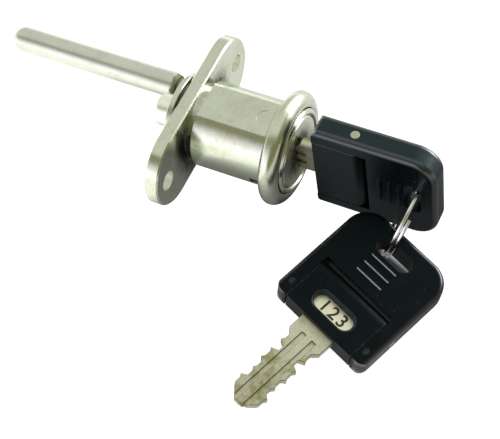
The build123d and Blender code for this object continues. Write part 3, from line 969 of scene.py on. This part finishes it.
def make_springs(name, nodes, sizes, material):
    """One spring for each wafer, under its lug or over it by turns, along the plug."""
    tree = Tree("wafer springs", material)
    wire = tree.size("Wire radius", sizes.spring_wire)
    pitch = tree.size("Wafer pitch", WAFER_PITCH * MM)
    low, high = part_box(nodes[0])
    first = ((low[0] + high[0]) / 2, (low[1] + high[1]) / 2, 0.0)
    height = SPRING_TURNS * SPRING_PITCH * MM
    base = SPRING_LUG * MM + sizes.spring_wire
    wound = coil(
        tree, SPRING_TURNS, SPRING_RADIUS * MM, height, wire, SPRING_SIDES, SPRING_STEPS, False
    )
    step = tree.node("ShaderNodeCombineXYZ", values={"Y": pitch})
    row = tree.node(
        "GeometryNodeMeshLine",
        {"mode": "OFFSET"},
        {"Count": len(nodes), "Start Location": first, "Offset": step.outputs[0]},
    )
    index = tree.node("GeometryNodeInputIndex")
    odd = tree.node("ShaderNodeMath", {"operation": "MODULO"}, {0: index.outputs[0], 1: 2.0})
    raised = tree.node(
        "ShaderNodeMath",
        {"operation": "MULTIPLY_ADD"},
        {0: odd.outputs[0], 1: 2 * base + height, 2: -base - height},
    )
    lift = tree.node("ShaderNodeCombineXYZ", values={"Z": raised.outputs[0]})
    set_out = tree.node(
        "GeometryNodeSetPosition", values={"Geometry": row.outputs[0], "Offset": lift.outputs[0]}
    )
    placed = tree.node(
        "GeometryNodeInstanceOnPoints", values={"Points": set_out.outputs[0], "Instance": wound}
    )
    return tree.mesh(name, placed.outputs[0])


# Stage


def make_floor(seen_brightness, mirrored_brightness):
    """A white sheet just below the lock."""
    half = FLOOR_HALF * MM
    low = cad_box[0][2] - FLOOR_GAP * MM
    corners = [(-half, -half, low), (half, -half, low), (half, half, low), (-half, half, low)]
    mesh = bpy.data.meshes.new("floor")
    mesh.from_pydata(corners, [], [(0, 1, 2, 3)])
    paper = white_paper("white paper", seen_brightness, mirrored_brightness)
    dress(link("floor", mesh), paper)


def make_soft_box():
    """The one lamp, a soft box that faces the lock."""
    light = bpy.data.lights.new("right box", "AREA")
    light.shape = "RECTANGLE"
    light.size, light.size_y = BOX_SIZE
    light.energy = BOX_WATTS
    light.color = BOX_COLOUR
    lamp = link("right box", light)
    away = Vector(BOX_WAY).normalized()
    lamp.location = away * BOX_DISTANCE
    lamp.rotation_euler = away.to_track_quat("Z", "Y").to_euler()


def make_world(scene):
    """A light tent arched over the lock's axis, with a dark gap where the camera looks in.

    The tent's tone follows the angle round the Y axis, from the right horizon over the top to the
    left one. A bright wall closes its front end on the right, and a dark board the rest of it. The
    camera itself sees white.
    """
    world = bpy.data.worlds.new("light tent")
    scene.world = world
    world.use_nodes = True
    graph = Graph.over(world.node_tree)
    direction = Signal(graph, graph.node("ShaderNodeTexCoord").outputs["Generated"])
    x, y, z = graph.parts(direction)
    share = (-x).angle(z) * (0.5 / pi) + 0.5
    tent = graph.node("ShaderNodeValToRGB", {"stops": TENT_STOPS}, {"Fac": share})
    wall = (-y).step(*WALL_FRONT) * x.step(*WALL_RIGHT)
    board = (-y).step(*BOARD_FRONT) * (-x).step(*BOARD_LEFT) * (1 - z.step(*BOARD_TOP))
    tone = graph.blend(wall, Signal(graph, tent.outputs["Color"]), WALL_TONE)
    tone = graph.blend(board, tone, BOARD_TONE)
    camera = Signal(graph, graph.node("ShaderNodeLightPath").outputs["Is Camera Ray"])
    shown = graph.mixed(camera, graph.background(tone), graph.background((1.0, 1.0, 1.0)))
    out = graph.node("ShaderNodeOutputWorld")
    graph.tree.links.new(shown, out.inputs["Surface"])


def make_camera(scene):
    """The camera that took the photograph."""
    data = bpy.data.cameras.new("photograph")
    data.sensor_width = SENSOR_WIDTH
    data.lens = FOCAL_PIXELS / PHOTO_WIDTH * SENSOR_WIDTH
    data.clip_start = NEAREST_SEEN * MM
    camera = link("photograph", data)
    place = Vector(CAMERA_PLACE) * MM
    away = place - Vector(CAMERA_AIM) * MM
    look = away.to_track_quat("Z", "Y").to_matrix().to_4x4()
    roll = Matrix.Rotation(radians(CAMERA_ROLL), 4, "Z")
    camera.matrix_world = Matrix.Translation(place) @ look @ roll
    scene.camera = camera


# Sizes and colours that a user would change


class LockSizes(bpy.types.PropertyGroup):
    """Sizes of what the model's solids leave plain"""

    casting_round: FloatProperty(
        name="Casting edge",
        description="Edge radius of the castings",
        default=0.16 * MM,
        min=0.01 * MM,
        subtype="DISTANCE",
        precision=5,
    )
    pressed_round: FloatProperty(
        name="Pressed edge",
        description="Edge radius of the pressed pieces",
        default=0.08 * MM,
        min=0.01 * MM,
        subtype="DISTANCE",
        precision=5,
    )
    grip_round: FloatProperty(
        name="Grip edge",
        description="Edge radius of the moulded grips",
        default=0.14 * MM,
        min=0.01 * MM,
        subtype="DISTANCE",
        precision=5,
    )
    blade_round: FloatProperty(
        name="Blade edge",
        description="Edge radius of the key blades",
        default=0.06 * MM,
        min=0.01 * MM,
        subtype="DISTANCE",
        precision=5,
    )
    ring_wire: FloatProperty(
        name="Ring wire",
        description="Radius of the split ring's wire",
        default=0.4 * MM,
        min=0.1 * MM,
        subtype="DISTANCE",
        precision=5,
    )
    spring_wire: FloatProperty(
        name="Spring wire",
        description="Radius of the wafer springs' wire",
        default=0.12 * MM,
        min=0.05 * MM,
        subtype="DISTANCE",
        precision=5,
    )
    figure_height: FloatProperty(
        name="Figure height",
        description="Height of the stamped figures",
        default=2.8 * MM,
        min=0.5 * MM,
        subtype="DISTANCE",
        precision=5,
    )
    figure_depth: FloatProperty(
        name="Figure depth",
        description="Depth of the stamped figures",
        default=0.12 * MM,
        min=0.02 * MM,
        subtype="DISTANCE",
        precision=5,
    )
    figures: StringProperty(
        name="Figures", description="Figures stamped in the keys' windows", default="123"
    )
    ring_sides: IntProperty(
        name="Wire sides", description="Sides of the split ring's wire", default=20, min=6
    )


class LockColours(bpy.types.PropertyGroup):
    """Base colours of the finishes, and how white the floor is"""

    nickel: FloatVectorProperty(
        name="Nickel", description="Satin plate", subtype="COLOR", default=(0.62, 0.66, 0.53)
    )
    pin: FloatVectorProperty(
        name="Drive pin", description="Plated pin", subtype="COLOR", default=(0.66, 0.69, 0.58)
    )
    bright: FloatVectorProperty(
        name="Bright", description="Bright plate", subtype="COLOR", default=(0.8, 0.79, 0.76)
    )
    key: FloatVectorProperty(
        name="Key", description="Key blades", subtype="COLOR", default=(0.66, 0.67, 0.5)
    )
    grip: FloatVectorProperty(
        name="Grip", description="Black grips", subtype="COLOR", default=(0.0015, 0.0025, 0.0025)
    )
    brass: FloatVectorProperty(
        name="Wafer brass", description="Wafers", subtype="COLOR", default=(0.72, 0.52, 0.22)
    )
    background: FloatProperty(
        name="Background",
        description="Glow of the floor to the camera",
        default=0.8,
        min=0.0,
        max=1.0,
        subtype="FACTOR",
    )
    mirrored: FloatProperty(
        name="Mirrored floor",
        description="Glow of the floor in the metal",
        default=1.0,
        min=0.0,
        max=1.0,
        subtype="FACTOR",
    )


# Pieces


class LOCK_OT_housing(bpy.types.Operator):
    """Casting with barrel and flange, its trim ring, stop pin and washer"""

    bl_idname = "lock.housing"
    bl_label = "Housing and trim ring"

    def execute(self, context):
        sizes = context.scene.lock_sizes
        nickel = tuple(context.scene.lock_colours.nickel)
        edge = polished_edge("rubbed casting edge", nickel)
        casting = satin_nickel("satin nickel casting", nickel, CAST_ROUGHNESS, behind_neck, flange_bores)
        pressing = satin_nickel("satin nickel ring", nickel, TURNED_ROUGHNESS, lug_slots)
        pieces = (
            ("housing", "housing_casting", sizes.casting_round, casting),
            ("trim_ring", "trim_ring_hooked", sizes.pressed_round, pressing),
        )
        for node, name, width, finish in pieces:
            rounded_node(node, name, "lock_body", "nickel_zinc", width, (finish, edge))
        steel = drawn_steel("oiled steel", OILED_STEEL, None, 0.3)
        width = WASHER_ROUND * MM
        for node in ("stop_pin", "thrust_washer"):
            rounded_node(node, node + "_steel", "lock_body", "steel", width, (steel, steel), 2)
        return {"FINISHED"}


class LOCK_OT_plug(bpy.types.Operator):
    """Turning plug with its driver disc, drive pin and cap"""

    bl_idname = "lock.plug"
    bl_label = "Plug and driver"

    def execute(self, context):
        width = context.scene.lock_sizes.pressed_round
        colours = context.scene.lock_colours
        plate = tuple(colours.nickel)
        nickel = satin_nickel("satin nickel plug", plate, TURNED_ROUGHNESS, round_keyway)
        edge = polished_edge("rubbed plug edge", plate)
        pin = drawn_steel("plated drive pin", tuple(colours.pin), None, 0.25, PIN_SHOULDER)
        bright = bright_plate("bright cap", scaled(plate, CAP_BRIGHTER), 0.3)
        pieces = (
            ("plug_core", "plug_turned", "nickel_zinc", (nickel, edge)),
            ("driver_disc", "driver_disc_pressed", "nickel_zinc", (nickel, nickel)),
            ("drive_pin", "drive_pin_round", "nickel_steel", (pin, pin)),
            ("retaining_cap", "retaining_cap_round", "bright_steel", (bright, bright)),
        )
        for node, name, slot, materials in pieces:
            rounded_node(node, name, "plug", slot, width, materials)
        return {"FINISHED"}


class LOCK_OT_wafers(bpy.types.Operator):
    """Wafers, and the coil springs that press on them"""

    bl_idname = "lock.wafers"
    bl_label = "Wafers and springs"

    def execute(self, context):
        sizes = context.scene.lock_sizes
        springs = sorted(node for node in frame["nodes"] if node.startswith("wafer_spring_"))
        wafers = sorted(node for node in frame["nodes"] if node.startswith("wafer_"))
        wafers = [node for node in wafers if node not in springs]
        if not wafers or len(springs) != len(wafers):
            raise RuntimeError("The frame doesn't have a spring for each wafer")
        brass = stamped_brass("stamped brass", tuple(context.scene.lock_colours.brass))
        width = STAMPED_ROUND * MM
        for node in wafers:
            rounded_node(node, node + "_stamped", node, "wafer_brass", width, (brass, brass), 2)
        steel = bright_plate("spring steel", SPRING_STEEL, 0.25)
        piece = make_springs("wafer_springs", springs, sizes, steel)
        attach(piece, "plug")
        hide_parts(*springs)
        return {"FINISHED"}


class LOCK_OT_keys(bpy.types.Operator):
    """Both folding keys: grip, carrier, blade with stamped figures, and hinge pin"""

    bl_idname = "lock.keys"
    bl_label = "Folding keys"

    def execute(self, context):
        sizes = context.scene.lock_sizes
        recess = stamped_recess("stamped recess")
        for key, matrix in KEY_FRAMES.items():
            self.make_grip(key, matrix, sizes, tuple(context.scene.lock_colours.grip))
            steel = drawn_steel(key + " hinge steel", HINGE_STEEL, matrix, 0.3)
            pin = (key + "_hinge_pin", key + "_pin_steel", key + "_grip", "steel")
            rounded_node(*pin, STAMPED_ROUND * MM, (steel, steel), 2)
            metal = key_metal(key + " brushed metal", tuple(context.scene.lock_colours.key), matrix)
            blade = dress(from_cad(key + "_blade", key + "_blade_stamped"), metal, metal, recess)
            baked(soften(blade, sizes.blade_round, 2))
            stamp_figures(blade, matrix, WINDOW_SIDES[key], sizes, recess)
            baked(flatten(blade))
            stand_for(blade, key + "_blade", key)
        return {"FINISHED"}

    def make_grip(self, key, matrix, sizes, black):
        """The moulded head, and the carrier that folds into it."""
        look = GRIPS[key]
        sheen = look["sheen"]
        least_rough = look["roughness"]
        rib_highlight = look["rib_highlight"]
        rubbed = rubbed_black(key + " rubbed grip edge", black, matrix, rib_highlight)
        grip = moulded_black(
            key + " grip plastic", black, matrix, sheen, least_rough, rib_highlight, look["rim_share"]
        )
        carrier = moulded_black(
            key + " carrier plastic", black, matrix, sheen, least_rough, parting=False
        )
        head = (key + "_head", key + "_grip", key + "_grip", "black_plastic")
        rounded_node(*head, sizes.grip_round, (grip, rubbed))
        holder = (key + "_carrier", key + "_carrier_moulded", key, "black_plastic")
        rounded_node(*holder, sizes.grip_round * CARRIER_SHARE, (carrier, rubbed))


class LOCK_OT_split_ring(bpy.types.Operator):
    """Split ring through the eyes of both keys"""

    bl_idname = "lock.split_ring"
    bl_label = "Split ring"

    def execute(self, context):
        bright = bright_plate("bright ring wire", tuple(context.scene.lock_colours.bright), 0.14)
        piece = make_split_ring("split_ring_wire", context.scene.lock_sizes, bright)
        stand_for(piece, "key_ring", "split_ring")
        return {"FINISHED"}


class LOCK_OT_stage(bpy.types.Operator):
    """White floor, soft box, light tent and camera"""

    bl_idname = "lock.stage"
    bl_label = "Stage"

    def execute(self, context):
        colours = context.scene.lock_colours
        make_floor(colours.background, colours.mirrored)
        make_soft_box()
        make_world(context.scene)
        make_camera(context.scene)
        context.scene.view_settings.view_transform = "Standard"
        return {"FINISHED"}


# Panel, registration and the run


class LOCK_PT_panel(bpy.types.Panel):
    """Sizes, colours and pieces of the lock"""

    bl_idname = "LOCK_PT_panel"
    bl_label = "Pedestal Lock"
    bl_space_type = "VIEW_3D"
    bl_region_type = "UI"
    bl_category = "Lock"

    def draw(self, context):
        for group in (context.scene.lock_sizes, context.scene.lock_colours):
            box = self.layout.box()
            for name in group.__annotations__:
                box.prop(group, name)
        for operator in OPERATORS:
            self.layout.operator(operator.bl_idname)


OPERATORS = (
    LOCK_OT_housing,
    LOCK_OT_plug,
    LOCK_OT_wafers,
    LOCK_OT_keys,
    LOCK_OT_split_ring,
    LOCK_OT_stage,
)
CLASSES = (LockSizes, LockColours, *OPERATORS, LOCK_PT_panel)


def register():
    for item in CLASSES:
        bpy.utils.register_class(item)
    bpy.types.Scene.lock_sizes = PointerProperty(type=LockSizes)
    bpy.types.Scene.lock_colours = PointerProperty(type=LockColours)


def unregister():
    del bpy.types.Scene.lock_colours
    del bpy.types.Scene.lock_sizes
    for item in reversed(CLASSES):
        bpy.utils.unregister_class(item)


def main():
    register()
    bpy.ops.lock.housing()
    bpy.ops.lock.plug()
    bpy.ops.lock.wafers()
    bpy.ops.lock.keys()
    bpy.ops.lock.split_ring()
    bpy.ops.lock.stage()


if __name__ == "__main__":
    main()
